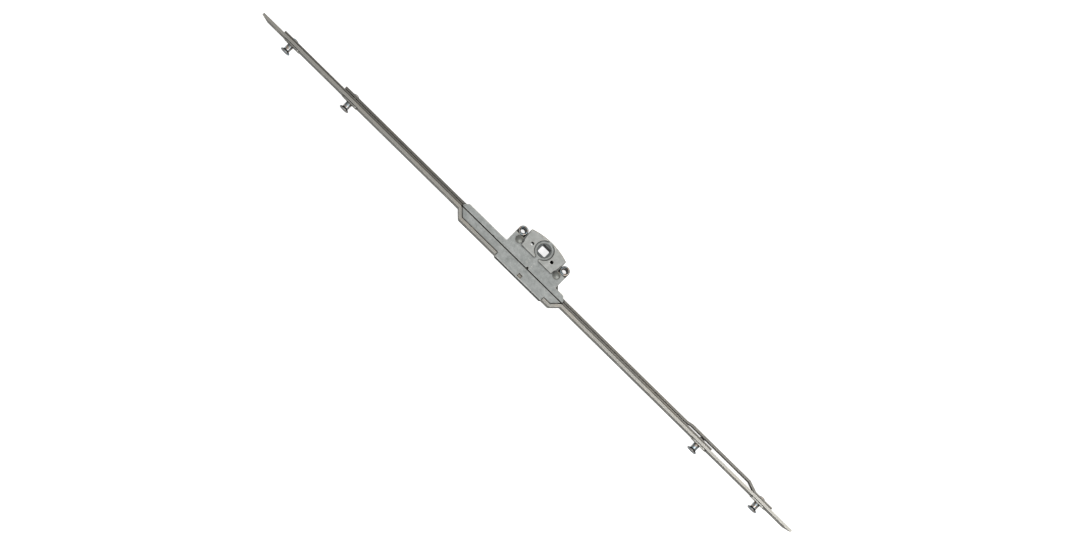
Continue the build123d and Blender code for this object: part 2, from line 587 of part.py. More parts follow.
def make_rods():
    first, second, third, fourth = ROLLER_XS
    make_rod("front_rod_left", [(-LEG_INNER, FRONT_ROD), (first - ROD_TAIL, FRONT_ROD)],
             [first], [second], FRONT_ROD + ROD_T, -1)
    make_rod("front_rod_right", [(LEG_INNER, FRONT_ROD), (third + ROD_TAIL, FRONT_ROD)],
             [third], [], FRONT_ROD + ROD_T, -1)
    make_rod("rear_rod_left", [(-LEG_INNER, REAR_ROD), (second - ROD_TAIL, REAR_ROD)],
             [second], [], REAR_ROD, 1)
    lift, drop = third - LIFT_LEAD, fourth - DROP_LEAD
    make_rod("rear_rod_right", [(LEG_INNER, REAR_ROD), (lift, REAR_ROD), (lift + LIFT_RUN, REAR_ROD + ROD_LIFT),
                                (drop, REAR_ROD + ROD_LIFT), (drop + DROP_RUN, FRONT_ROD),
                                (fourth + ROD_TAIL, FRONT_ROD)], [fourth], [], REAR_ROD, 1)
    make_link_rivets("front_link_rivets", FRONT_ROD + ROD_T, -1)
    make_link_rivets("rear_link_rivets", REAR_ROD, 1)


def make_rollers():
    """Each roller is a pin riveted to its rod, with a mushroom head, and a sleeve that turns on it."""
    rod_backs = (FRONT_ROD + ROD_T, REAR_ROD + ROD_T, FRONT_ROD + ROD_T, FRONT_ROD + ROD_T)
    head_front = HEAD_BACK - HEAD_FLARE - HEAD_EDGE
    for index, (x, back) in enumerate(zip(ROLLER_XS, rod_backs)):
        with BuildPart() as pin:
            with BuildSketch(Plane((x, 0, 0))):
                with BuildLine():
                    dome_bend = (RIVET_R ** 2 + RIVET_H ** 2) / (2 * RIVET_H)
                    RadiusArc((0, back + RIVET_H), (RIVET_R, back), dome_bend)
                    Polyline((RIVET_R, back), (PIN_R, back), (PIN_R, HEAD_BACK), (NECK_R, HEAD_BACK))
                    flare = Spline((NECK_R, HEAD_BACK), (HEAD_R, HEAD_BACK - HEAD_FLARE),
                                   tangents=((0.2, -1), (1, -0.35)))
                    Polyline(flare @ 1, (HEAD_R, HEAD_BACK - HEAD_FLARE - HEAD_EDGE + HEAD_CHAMFER),
                             (HEAD_R - HEAD_CHAMFER, head_front), (0, head_front), (0, back + RIVET_H))
                make_face()
            revolve(axis=Axis((x, 0, 0), (0, 1, 0)))
        finish(pin.part, f"roller_pin_{index + 1}")
        with BuildPart() as sleeve:
            with BuildSketch(Plane.XZ.offset(-NECK_BACK)):
                with Locations((x, 0)):
                    Circle(NECK_R)
                    Circle(PIN_R + SLEEVE_PLAY, mode=Mode.SUBTRACT)
            extrude(amount=NECK_L)
        finish(sleeve.part, f"roller_sleeve_{index + 1}")


def make_fasteners():
    with BuildPart() as rivets:
        for side in (1, -1):
            with BuildSketch(Plane((side * CASE_RIVET[0], CASE_RIVET[1], CASE_BOTTOM))):
                Circle(CASE_RIVET_R)
            extrude(amount=CASE_TOP - CASE_BOTTOM)
            with BuildSketch(Plane((side * CASE_RIVET[0], CASE_RIVET[1], CASE_TOP))):
                Circle(CASE_RIVET_HEAD_R)
            extrude(amount=CASE_RIVET_HEAD_H)
        chamfer(rivets.edges().group_by(Axis.Z)[-1], CHAMFER)
    finish(rivets.part, "case_rivets")
    for side, name in ((-1, "left"), (1, "right")):
        with BuildPart() as bush:
            with BuildSketch(Plane((side * SCREW_X, 0, CASE_BOTTOM))):
                Circle(BUSH_R)
            extrude(amount=CASE_SPLIT - CASE_BOTTOM)
            with BuildSketch(Plane((side * SCREW_X, 0, CASE_SPLIT))):
                Circle(BUSH_FLANGE_R)
            extrude(amount=BUSH_FLANGE_H)
            chamfer(bush.edges().group_by(Axis.Z)[-1], CHAMFER)
            with BuildSketch(Plane((side * SCREW_X, 0, CASE_BOTTOM))):
                Circle(THREAD_BORE_R)
            extrude(amount=CASE_SPLIT - CASE_BOTTOM + BUSH_FLANGE_H, mode=Mode.SUBTRACT)
        finish(bush.part, f"screw_bush_{name}")
    with BuildPart() as seam_rivets:
        with BuildSketch(Plane.XZ.offset(-STRIP_FRONT)):
            with Locations(*seam_rivet_places()):
                Circle(SEAM_RIVET_R)
        extrude(amount=-(STRIP_DEPTH + SEAM_RIVET_BITE - FIXED_PLAY))
        with BuildSketch(Plane.XZ.offset(-STRIP_FRONT)):
            with Locations(*seam_rivet_places()):
                Circle(SEAM_RIVET_HEAD_R)
        extrude(amount=-(SEAM_RIVET_HEAD_H - FIXED_PLAY))
    finish(seam_rivets.part, "seam_rivets")


make_faceplate()
make_gear_case()
make_gear_cover()
make_front_case()
make_hub()
make_idler()
make_rear_slider()
make_front_slider()
make_rods()
make_rollers()
make_fasteners()
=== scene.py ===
import json
from math import atan2, cos, degrees, pi, radians, sin

import bmesh
import bpy
from mathutils import Matrix, Vector


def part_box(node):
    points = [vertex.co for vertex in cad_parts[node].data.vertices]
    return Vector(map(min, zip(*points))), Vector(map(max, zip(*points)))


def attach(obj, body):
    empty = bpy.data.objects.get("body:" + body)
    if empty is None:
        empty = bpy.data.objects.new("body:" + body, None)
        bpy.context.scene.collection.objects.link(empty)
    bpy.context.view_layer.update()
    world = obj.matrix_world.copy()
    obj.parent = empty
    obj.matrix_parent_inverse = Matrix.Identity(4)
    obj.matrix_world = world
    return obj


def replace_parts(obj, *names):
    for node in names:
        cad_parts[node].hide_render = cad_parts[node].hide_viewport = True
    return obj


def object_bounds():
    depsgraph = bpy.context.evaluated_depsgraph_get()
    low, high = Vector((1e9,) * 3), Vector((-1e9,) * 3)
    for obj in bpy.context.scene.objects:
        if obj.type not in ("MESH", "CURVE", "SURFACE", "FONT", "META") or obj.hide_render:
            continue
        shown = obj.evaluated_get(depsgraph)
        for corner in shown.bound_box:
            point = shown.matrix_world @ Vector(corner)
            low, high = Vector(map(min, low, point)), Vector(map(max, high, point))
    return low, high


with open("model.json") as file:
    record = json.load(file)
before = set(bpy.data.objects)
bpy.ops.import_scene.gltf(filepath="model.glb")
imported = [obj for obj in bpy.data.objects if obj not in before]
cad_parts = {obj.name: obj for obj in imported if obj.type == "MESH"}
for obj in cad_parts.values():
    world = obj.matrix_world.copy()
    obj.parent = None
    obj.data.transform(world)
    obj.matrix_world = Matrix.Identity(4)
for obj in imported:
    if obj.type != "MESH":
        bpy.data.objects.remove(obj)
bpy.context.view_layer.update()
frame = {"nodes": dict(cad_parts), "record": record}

# Looks of an espagnolette window lock. Everything is in metres, in the frame of the CAD model: X runs along
# the faceplate, -Y is the front with the rollers, and Z is the spindle's axis.

MM = 0.001
nodes = frame["nodes"]
BODIES = frame["record"]["behaviour"]["bodies"]
BODY_OF = {node: body for body, members in BODIES.items() for node in members}
SLOT_OF = {entry["node"]: entry["material_slot"] for entry in frame["record"]["subparts"]}

# The photograph, in its own pixels
PHOTO = (1068, 549)
SPINDLE_PIXEL = (544.3, 250.7)
METRES_PER_PIXEL = 0.74 * MM
BAR_SLOPE = radians(44.45)     # the faceplate runs down to the right
TILT = radians(6.2)            # the camera leans towards the rollers
LENS, SENSOR = 150.0, 36.0     # in millimetres
CAMERA_REACH = 20.0            # nothing further away is drawn

# Light. A lamp has a name, a place, a width, a power in watts and a colour.
PAPER = "#ececec"
FLOOR_HALF = 6.0               # half the floor's width
FLOOR_LIFT = 0.85              # glow that the camera and reflections see on the floor, to make it white
TENT_GLEAM = 0.8               # how bright the tent is in reflections
TENT_FILL = 0.48               # how bright it is for matt surfaces
TENT_END = 0.25                # share of that brightness at the tent's two ends
TENT_LOW = 0.35                # share of it near the floor
TENT_HIGH = 0.6                # the height, as a direction's Z, from which the tent is at its brightest
LAMPS = (("front_tent_lamp", (-0.1, -1.2, 0.45), 0.8, 2.0, "#ffffff"),
         ("rear_tent_lamp", (0.2, 1.2, 0.30), 0.8, 4.6, "#fff0dc"),
         ("overhead_softbox", (0.45, -0.15, 1.3), 0.5, 4.5, "#ffffff"))

# Sizes of the CAD model that the record doesn't give
SEAM = -18.9 * MM              # between the two castings
PANEL_TOP = 8.0 * MM           # the highest faces of the cover
SOCKET = 3.55 * MM             # half the width of the spindle's square hole
PLATE_FRONT = -21.4 * MM       # the faceplate's front along its arms
PLATE_HALF, ROD_HALF = 8.0 * MM, 5.0 * MM    # half the width of the faceplate and of the rods
SLOT_XS = (-239.9 * MM, -180.1 * MM, 182.0 * MM, 243.3 * MM)
SLOT_LENGTH, SLOT_WIDTH = 14.15 * MM, 3.9 * MM
RIM_WALL, RIM_HEIGHT = 0.7 * MM, 1.0 * MM    # of the pressed rim round each slot
PIN_R = 1.8 * MM
DOME_R, DOME_HEIGHT = 3.3 * MM, 1.3 * MM     # a roller pin's riveted end
SLEEVE_PLAY, SLEEVE_END_PLAY = 0.05 * MM, 0.15 * MM
BUSH_BORE_R, BUSH_R = 2.1 * MM, 3.0 * MM
BUSH_FLANGE = 1.5 * MM
CASE_RIVET_R, CASE_RIVET_HEAD = 1.4 * MM, 0.8 * MM    # its shank's radius and its head's height

# Sizes of the finer shapes that only the looks have
SHARP_ANGLE = radians(32)      # edges that turn more than this are sharp
FLAT_ANGLE = radians(1.0)      # faces that turn less than this are one face
CAD_WELD, LATHE_WELD = 0.002 * MM, 0.001 * MM    # corners nearer than this are one
LATHE_STEPS = 64               # faces round a turned piece
SIDE_BAND = 0.1 * MM           # an edge this near to a strip's side belongs to it
NECK_EASE = 0.2 * MM           # rounding of a sleeve's ends
RIM_EDGE = 1.5 * MM            # thickness of a roller head's rim
HEAD_MIDDLE = -28.35 * MM      # the middle of that thickness
FLARE_STEPS = 8
FLARE_OUT, FLARE_ALONG = 1.6, 0.75           # powers that bend the flare of a roller's head
DISH = 0.15 * MM               # depth of the head's shallow dish
DISH_RIM, DISH_FLOOR = 1.8 * RIM_EDGE, 2.1 * RIM_EDGE    # its slope lies this far in from the head's edge
BUSH_EDGE = 0.4 * MM           # rounding of a bush's flange
MOUTH = 0.75 * MM              # countersink at a bush's ends
THREAD_PITCH, THREAD_RIDGE = 0.8 * MM, 0.2 * MM
SHOULDER = 0.35 * MM           # width of the flat ring round a casing rivet's dome
CROWN = ((0.72, 0.35), (0.45, 0.08))         # the dome's points, as shares of the head's radius and height
RIM_COVER = 0.06 * MM          # the bead hides the CAD rim by this much
MARK_XS, MARK_YS = (-3.1 * MM, 1.6 * MM), (-12.3 * MM, -15.0 * MM)       # of the cover's ejector marks
MARK_R, MARK_RISE = 0.45 * MM, 0.08 * MM
WAVE = 2 * pi / 20             # length of one wave in a Wave Texture of scale 1

# Colours that come out as in the photograph. Plated steel has a dark, a light and a warm one.
# the casting's last colour lightens its highest faces, and its edges, where it is part rubbing and part
# painted highlight
CASTING_DARK, CASTING_LIGHT, CASTING_WEAR_AND_HIGHLIGHT = "#8f9391", "#b4b7b5", "#e6e3db"
STRIP = ("#6e6e6a", "#949490", "#928a7c")
ROD = ("#53524f", "#72706b", "#6d675c")
WIRE = ("#706e69", "#918f88", "#857e71")
DULLED = ("#5e605d", "#8b8d88", "#74726b")
# the slot rims: the plate's steel in much lighter colours, a painted highlight on their raised walls
RIM_HIGHLIGHT = ("#a9aaa8", "#dcdbd6", "#c9c4ba")
# edge colour of the strips: part rubbing and part painted highlight; on their slit sides it is all painted
# highlight
STRIP_WEAR_AND_HIGHLIGHT = "#ddd8ce"
# the rollers' worn colour lights their edges, part rubbing and part painted highlight; the dull one is
# painted shade on the heads' rims
ROLLER_BLUE, ROLLER_PINK, ROLLER_WEAR_AND_HIGHLIGHT, ROLLER_RIM_SHADE = "#a3b4bc", "#b9a99c", "#ecebe8", "#75797b"
# the hub's worn colour lights its edges, part rubbing and part painted highlight
HUB_DARK, HUB_LIGHT, HUB_WEAR_AND_HIGHLIGHT = "#4f5252", "#747776", "#a9aaa6"
# near black, for painted shade in corners, seams and the square hole
SHADE_BLACK = "#1c1b1a"
# Tint of each metal's reflections where it is seen at a slant, darker where a film dulls it
CASTING_FILM, STRIP_FILM, ROLLER_FILM, HUB_FILM = "#d4d4d4", "#959595", "#5e666c", "#9c9c9c"


def linear(code):
    """An sRGB hex colour as the linear RGBA that the shaders take."""
    channels = [int(code[i:i + 2], 16) / 255 for i in (1, 3, 5)]
    return [c / 12.92 if c <= 0.04045 else ((c + 0.055) / 1.055) ** 2.4 for c in channels] + [1.0]


def add_node(tree, kind, inputs=None, **settings):
    """Adds a node. A socket in inputs is linked, and any other value is set on the input itself."""
    node = tree.nodes.new(kind)
    for name, value in settings.items():
        setattr(node, name, value)
    for name, value in (inputs or {}).items():
        if isinstance(value, bpy.types.NodeSocket):
            tree.links.new(value, node.inputs[name])
        else:
            node.inputs[name].default_value = value
    return node


def new_material(name):
    """A bare material with a shader, ready for its pattern."""
    material = bpy.data.materials.new(name)
    material.use_nodes = True
    tree = material.node_tree
    tree.nodes.clear()
    shader = add_node(tree, "ShaderNodeBsdfPrincipled")
    add_node(tree, "ShaderNodeOutputMaterial", {"Surface": shader.outputs["BSDF"]})
    place = add_node(tree, "ShaderNodeTexCoord").outputs["Object"]
    return material, tree, shader, place


def shaded_and_worn(tree, place, colour, reach, corner_shade, worn, edge_wear_and_highlight, width):
    """The colour with painted shade, of strength grime, as far as reach out of corners and seams, and
    lightened towards the worn colour along edges over width by wear, which is part rubbing and part painted
    highlight."""
    # near an edge, the rounded normal leans away from the face's own
    round_edge = add_node(tree, "ShaderNodeBevel", {"Radius": width}, samples=4)
    flat = add_node(tree, "ShaderNodeNewGeometry")
    turn = add_node(tree, "ShaderNodeVectorMath", {0: round_edge.outputs["Normal"],
                                                   1: flat.outputs["Normal"]}, operation="DOT_PRODUCT")
    edge = add_node(tree, "ShaderNodeMapRange", {"Value": turn.outputs["Value"], "From Min": 0.90,
                                                 "From Max": 0.995, "To Min": edge_wear_and_highlight, "To Max": 0.0})
    # the edge lightening, part rubbing and part painted highlight, comes and goes over 3 mm
    rub = add_node(tree, "ShaderNodeTexNoise", {"Vector": place, "Scale": 1 / (3 * MM), "Detail": 3.0})
    uneven = add_node(tree, "ShaderNodeMapRange", {"Value": rub.outputs["Fac"], "From Min": 0.35,
                                                   "From Max": 0.6, "To Min": 0.45})
    edge_mark = add_node(tree, "ShaderNodeMath", {0: edge.outputs["Result"], 1: uneven.outputs["Result"]},
                    operation="MULTIPLY")
    edge_worn_and_lit = add_node(tree, "ShaderNodeMix", {0: edge_mark.outputs["Value"], 6: colour, 7: linear(worn)},
                      data_type="RGBA")
    # painted shade: occlusion darkens corners and seams towards near black
    hollow = add_node(tree, "ShaderNodeAmbientOcclusion", {"Distance": reach}, samples=8)
    depth = add_node(tree, "ShaderNodeMapRange", {"Value": hollow.outputs["AO"], "From Min": 0.68,
                                                  "From Max": 0.97, "To Min": corner_shade, "To Max": 0.0})
    return add_node(tree, "ShaderNodeMix", {0: depth.outputs["Result"], 6: edge_worn_and_lit.outputs[2],
                                            7: linear(SHADE_BLACK)}, data_type="RGBA").outputs[2]


def near(tree, place, axis, level, inner, outer, amount):
    """Amount within inner of a level on one axis, and fading to nothing at outer."""
    along = add_node(tree, "ShaderNodeSeparateXYZ", {"Vector": place}).outputs[axis]
    off = add_node(tree, "ShaderNodeMath", {0: along, 1: level}, operation="SUBTRACT")
    away = add_node(tree, "ShaderNodeMath", {0: off.outputs["Value"]}, operation="ABSOLUTE")
    return add_node(tree, "ShaderNodeMapRange", {"Value": away.outputs["Value"], "From Min": inner,
                                                 "From Max": outer, "To Min": amount, "To Max": 0.0})


def die_cast_zinc():
    """Zinc die casting, left as cast: a matt grey skin with cloudy flow marks and a fine grit."""
    material, tree, shader, place = new_material("die_cast_zinc")
    # clouds about 5 mm across, where the metal chilled at different speeds
    clouds = add_node(tree, "ShaderNodeTexNoise", {"Vector": place, "Scale": 1 / (5 * MM), "Detail": 8.0,
                                                   "Roughness": 0.72})
    spread = add_node(tree, "ShaderNodeMapRange", {"Value": clouds.outputs["Fac"], "From Min": 0.3,
                                                   "From Max": 0.7})
    skin = add_node(tree, "ShaderNodeMix", {0: spread.outputs["Result"], 6: linear(CASTING_DARK),
                                            7: linear(CASTING_LIGHT)}, data_type="RGBA")
    # grit of about 0.9 mm, drawn coarser than the real one so that it shows
    grit = add_node(tree, "ShaderNodeTexNoise", {"Vector": place, "Scale": 1 / (0.9 * MM), "Detail": 4.0,
                                                 "Roughness": 0.7})
    speckle = add_node(tree, "ShaderNodeMix", {0: 0.45, 6: skin.outputs[2], 7: grit.outputs["Fac"]},
                       data_type="RGBA", blend_type="OVERLAY")
    # the highest faces are a little brighter, because everything rubs on them
    crown = near(tree, place, "Z", PANEL_TOP, inner=0.05 * MM, outer=0.25 * MM, amount=0.16)
    bright = add_node(tree, "ShaderNodeMix", {0: crown.outputs["Result"], 6: speckle.outputs[2],
                                              7: linear(CASTING_WEAR_AND_HIGHLIGHT)}, data_type="RGBA")
    # painted shade: the seam between the two castings drawn near black
    seam = near(tree, place, "Y", SEAM, inner=0.2 * MM, outer=0.55 * MM, amount=0.95)
    # painted shade in corners and seams; edges lightened, part rubbing and part painted highlight
    shaded_worn_skin = shaded_and_worn(tree, place, bright.outputs[2], reach=1.8 * MM, corner_shade=0.92, worn=CASTING_WEAR_AND_HIGHLIGHT, edge_wear_and_highlight=1.0,
                     width=0.6 * MM)
    seam_shaded = add_node(tree, "ShaderNodeMix", {0: seam.outputs["Result"], 6: shaded_worn_skin, 7: linear(SHADE_BLACK)},
                    data_type="RGBA")
    tree.links.new(seam_shaded.outputs[2], shader.inputs["Base Color"])
    dull = add_node(tree, "ShaderNodeMapRange", {"Value": clouds.outputs["Fac"], "To Min": 0.60,
                                                 "To Max": 0.44})
    tree.links.new(dull.outputs["Result"], shader.inputs["Roughness"])
    bump = add_node(tree, "ShaderNodeBump", {"Height": grit.outputs["Fac"], "Strength": 0.35,
                                             "Distance": 0.05 * MM})
    tree.links.new(bump.outputs["Normal"], shader.inputs["Normal"])
    shader.inputs["Metallic"].default_value = 0.75
    shader.inputs["Specular Tint"].default_value = linear(CASTING_FILM)
    return material


def plated_strip(name, colours, half_width=None, sheen=0.0, reach=1.6 * MM, edge_wear_and_highlight=0.8):
    """Cold-rolled steel strip with a satin zinc plating: lengthwise rolling lines and warm, worn patches.
    Its slit sides, half_width from the middle, carry a painted highlight of strength sheen. Painted shade
    comes out of corners as far as reach, and edges are lightened by wear, part rubbing and part painted
    highlight."""
    dark, light, warm = colours
    material, tree, shader, place = new_material(name)
    # rolling lines 0.25 mm wide and 40 mm long
    along = add_node(tree, "ShaderNodeMapping", {"Vector": place, "Scale": (1 / (40 * MM), 1 / (0.25 * MM),
                                                                            1 / (0.25 * MM))})
    lines = add_node(tree, "ShaderNodeTexNoise", {"Vector": along.outputs["Vector"], "Scale": 1.0,
                                                  "Detail": 2.0})
    # patches 4 mm wide and 30 mm long, where the plating took on more or less
    bands = add_node(tree, "ShaderNodeMapping", {"Vector": place, "Scale": (1 / (30 * MM), 1 / (4 * MM),
                                                                            1 / (4 * MM))})
    patches = add_node(tree, "ShaderNodeTexNoise", {"Vector": bands.outputs["Vector"], "Scale": 1.0,
                                                    "Detail": 4.0, "Roughness": 0.6})
    shade = add_node(tree, "ShaderNodeMix", {0: lines.outputs["Fac"], 6: linear(dark), 7: linear(light)},
                     data_type="RGBA")
    worn = add_node(tree, "ShaderNodeMapRange", {"Value": patches.outputs["Fac"], "From Min": 0.48,
                                                 "From Max": 0.70, "To Max": 0.7})
    tinted = add_node(tree, "ShaderNodeMix", {0: worn.outputs["Result"], 6: shade.outputs[2],
                                              7: linear(warm)}, data_type="RGBA")
    coat = tinted.outputs[2]
    # painted highlight along the two slit sides
    if half_width:
        for side in (-1, 1):
            slit = near(tree, place, "Z", side * half_width, inner=0.1 * MM, outer=0.5 * MM, amount=sheen)
            coat = add_node(tree, "ShaderNodeMix", {0: slit.outputs["Result"], 6: coat,
                                                    7: linear(STRIP_WEAR_AND_HIGHLIGHT)}, data_type="RGBA").outputs[2]
    # painted shade in corners and seams; edges lightened, part rubbing and part painted highlight
    shaded_worn_coat = shaded_and_worn(tree, place, coat, reach=reach, corner_shade=0.95, worn=STRIP_WEAR_AND_HIGHLIGHT, edge_wear_and_highlight=edge_wear_and_highlight, width=0.55 * MM)
    tree.links.new(shaded_worn_coat, shader.inputs["Base Color"])
    satin = add_node(tree, "ShaderNodeMapRange", {"Value": lines.outputs["Fac"], "To Min": 0.30,
                                                  "To Max": 0.46})
    tree.links.new(satin.outputs["Result"], shader.inputs["Roughness"])
    bump = add_node(tree, "ShaderNodeBump", {"Height": lines.outputs["Fac"], "Strength": 0.25,
                                             "Distance": 0.02 * MM})
    tree.links.new(bump.outputs["Normal"], shader.inputs["Normal"])
    shader.inputs["Metallic"].default_value = 1.0
    shader.inputs["Specular Tint"].default_value = linear(STRIP_FILM)
    return material


def bright_zinc_plate():
    """Turned steel with bright blue-passivated zinc: glossy, with a rainbow cast of blue and pink."""
    material, tree, shader, place = new_material("bright_zinc_plate")
    # colour drifts over 2 mm, as the passivation film varies in thickness
    film = add_node(tree, "ShaderNodeTexNoise", {"Vector": place, "Scale": 1 / (2 * MM), "Detail": 2.0})
    spread = add_node(tree, "ShaderNodeMapRange", {"Value": film.outputs["Fac"], "From Min": 0.38,
                                                   "From Max": 0.62})
    tint = add_node(tree, "ShaderNodeMix", {0: spread.outputs["Result"], 6: linear(ROLLER_BLUE),
                                            7: linear(ROLLER_PINK)}, data_type="RGBA")
    # painted shade: the band round each head's rim is darkened, for its dark outline
    head = near(tree, place, "Y", HEAD_MIDDLE, inner=0.7 * MM, outer=1.1 * MM, amount=0.55)
    rim_shaded = add_node(tree, "ShaderNodeMix", {0: head.outputs["Result"], 6: tint.outputs[2],
                                              7: linear(ROLLER_RIM_SHADE)}, data_type="RGBA")
    # painted shade in hollows; edges lightened, part rubbing and part painted highlight
    shaded_worn_plate = shaded_and_worn(tree, place, rim_shaded.outputs[2], reach=0.7 * MM, corner_shade=0.5, worn=ROLLER_WEAR_AND_HIGHLIGHT, edge_wear_and_highlight=0.5,
                      width=0.2 * MM)
    tree.links.new(shaded_worn_plate, shader.inputs["Base Color"])
    # turning marks 0.0754 mm apart along the roller
    marks = add_node(tree, "ShaderNodeTexWave", {"Vector": place, "Scale": WAVE / (0.0754 * MM),
                                                 "Distortion": 0.3}, bands_direction="Y")
    bump = add_node(tree, "ShaderNodeBump", {"Height": marks.outputs["Fac"], "Strength": 0.2,
                                             "Distance": 0.01 * MM})
    tree.links.new(bump.outputs["Normal"], shader.inputs["Normal"])
    shader.inputs["Metallic"].default_value = 1.0
    shader.inputs["Roughness"].default_value = 0.34
    shader.inputs["Specular Tint"].default_value = linear(ROLLER_FILM)
    return material


def machined_hub_steel():
    """Machined steel of the spindle's hub and the gears: dark, a little oily, with turning rings."""
    material, tree, shader, place = new_material("machined_hub_steel")
    # oily patches 2.5 mm across
    patches = add_node(tree, "ShaderNodeTexNoise", {"Vector": place, "Scale": 1 / (2.5 * MM), "Detail": 4.0})
    tone = add_node(tree, "ShaderNodeMix", {0: patches.outputs["Fac"], 6: linear(HUB_DARK),
                                            7: linear(HUB_LIGHT)}, data_type="RGBA")
    # painted shade: the walls of the square hole drawn near black
    across = add_node(tree, "ShaderNodeVectorMath", {0: place}, operation="ABSOLUTE")
    sides = add_node(tree, "ShaderNodeSeparateXYZ", {"Vector": across.outputs["Vector"]}).outputs
    widest = add_node(tree, "ShaderNodeMath", {0: sides["X"], 1: sides["Y"]}, operation="MAXIMUM")
    socket_shade = add_node(tree, "ShaderNodeMapRange", {"Value": widest.outputs["Value"],
                                                   "From Min": SOCKET + 0.02 * MM,
                                                   "From Max": SOCKET + 0.15 * MM,
                                                   "To Min": 0.97, "To Max": 0.0})
    socket_shaded = add_node(tree, "ShaderNodeMix", {0: socket_shade.outputs["Result"], 6: tone.outputs[2],
                                               7: linear(SHADE_BLACK)}, data_type="RGBA")
    # painted shade in corners; edges lightened, part rubbing and part painted highlight
    shaded_worn_steel = shaded_and_worn(tree, place, socket_shaded.outputs[2], reach=1.5 * MM, corner_shade=0.9, worn=HUB_WEAR_AND_HIGHLIGHT, edge_wear_and_highlight=0.6,
                      width=0.3 * MM)
    tree.links.new(shaded_worn_steel, shader.inputs["Base Color"])
    # turning rings 0.1257 mm apart round the spindle's axis
    rings = add_node(tree, "ShaderNodeTexWave", {"Vector": place, "Scale": WAVE / (0.1257 * MM),
                                                 "Distortion": 0.4}, wave_type="RINGS", rings_direction="Z")
    bump = add_node(tree, "ShaderNodeBump", {"Height": rings.outputs["Fac"], "Strength": 0.2,
                                             "Distance": 0.02 * MM})
    tree.links.new(bump.outputs["Normal"], shader.inputs["Normal"])
    shader.inputs["Metallic"].default_value = 0.9
    shader.inputs["Roughness"].default_value = 0.42
    shader.inputs["Specular Tint"].default_value = linear(HUB_FILM)
    return material


# One finish for each slot of the record, and one for the rims
finishes = {
    "zinc_casting": die_cast_zinc(),
    "plate_steel": plated_strip("rolled_plated_strip", STRIP, half_width=PLATE_HALF, sheen=0.2,
                                reach=0.8 * MM),
    "rod_steel": plated_strip("drawn_plated_rod", ROD, half_width=ROD_HALF, sheen=0.04, reach=1.2 * MM,
                              edge_wear_and_highlight=0.4),
    "rivet_steel": plated_strip("headed_rivet_wire", WIRE),
    "casting_rivet": plated_strip("dulled_rivet_head", DULLED),
    "bright_zinc": bright_zinc_plate(),
    "hub_steel": machined_hub_steel(),
}
# painted highlight: the rims are the plate's steel drawn much lighter
rim_highlight_finish = plated_strip("slot_rim_painted_highlight", RIM_HIGHLIGHT, reach=0.4 * MM)


def dress_cad_nodes():
    """Gives every CAD node the finish of its slot."""
    for name, piece in nodes.items():
        piece.data.materials.clear()
        piece.data.materials.append(finishes[SLOT_OF[name]])


def new_piece(name, mesh, node):
    """Puts a mesh in the scene as a piece that moves with a CAD node's body. A mesh without a finish gets
    the node's."""
    piece = bpy.data.objects.new(name, mesh)
    bpy.context.scene.collection.objects.link(piece)
    if not mesh.materials:
        mesh.materials.append(finishes[SLOT_OF[node]])
    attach(piece, BODY_OF[node])
    return piece


def applied(piece):
    """The piece's mesh with its modifiers worked in, and the piece taken out of the scene."""
    mesh = bpy.data.meshes.new_from_object(piece.evaluated_get(bpy.context.evaluated_depsgraph_get()))
    mesh.name = piece.name
    piece.modifiers.clear()
    bpy.data.objects.remove(piece)
    return mesh


def rounded(node, radius, half_width=None, small=None):
    """Shows a CAD node with its sharp edges rounded by radius. On a strip with a half_width, that holds for
    the edges of its two sides, and the others are rounded by small."""
    mesh = nodes[node].data.copy()
    shape = bmesh.new()
    shape.from_mesh(mesh)
    bmesh.ops.remove_doubles(shape, verts=shape.verts, dist=CAD_WELD)
    bmesh.ops.dissolve_limit(shape, angle_limit=FLAT_ANGLE, verts=shape.verts, edges=shape.edges)
    weight = shape.edges.layers.float.new("bevel_weight_edge")
    for edge in shape.edges:
        if len(edge.link_faces) == 2 and edge.calc_face_angle() > SHARP_ANGLE:
            off_middle = min(abs(corner.co.z) for corner in edge.verts)
            edge[weight] = small / radius if half_width and off_middle <= half_width - SIDE_BAND else 1.0
    shape.to_mesh(mesh)
    shape.free()
    blank = bpy.data.objects.new(f"{node}_edges", mesh)
    bpy.context.scene.collection.objects.link(blank)
    bevel = blank.modifiers.new("rounding", "BEVEL")
    bevel.width = radius
    bevel.segments = 2
    bevel.limit_method = "WEIGHT"
    bevel.harden_normals = True
    bevel.use_clamp_overlap = True
    finished = applied(blank)
    finished.materials.clear()
    piece = new_piece(f"{node}_rounded", finished, node)
    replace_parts(piece, node)


def arc(centre, radius, start, end, steps=8):
    """Points of an arc in a profile, with its angles in degrees."""
    angles = [radians(start + (end - start) * i / steps) for i in range(steps + 1)]
    return [(centre[0] + radius * cos(a), centre[1] + radius * sin(a)) for a in angles]


def turned(name, profile, centre, axis, node, closed=False):
    """A piece made on a lathe, for a CAD node. The profile gives radius and height along the axis, from the
    centre, and closed joins its ends."""
    centre, axis = Vector(centre), Vector(axis)
    shape = bmesh.new()
    rounds = []
    for step in range(LATHE_STEPS):
        out = Matrix.Rotation(2 * pi * step / LATHE_STEPS, 3, axis) @ Vector((1, 0, 0))
        rounds.append([shape.verts.new(centre + out * r + axis * h) for r, h in profile])
    for here, there in zip(rounds, rounds[1:] + rounds[:1]):
        for i in range(0 if closed else 1, len(profile)):
            shape.faces.new((here[i - 1], here[i], there[i], there[i - 1]))
    # the corners on the axis become one
    bmesh.ops.remove_doubles(shape, verts=shape.verts, dist=LATHE_WELD)
    bmesh.ops.recalc_face_normals(shape, faces=shape.faces)
    mesh = bpy.data.meshes.new(name)
    shape.to_mesh(mesh)
    shape.free()
    mesh.shade_smooth()
    mesh.set_sharp_from_angle(angle=SHARP_ANGLE)
    return new_piece(name, mesh, node)


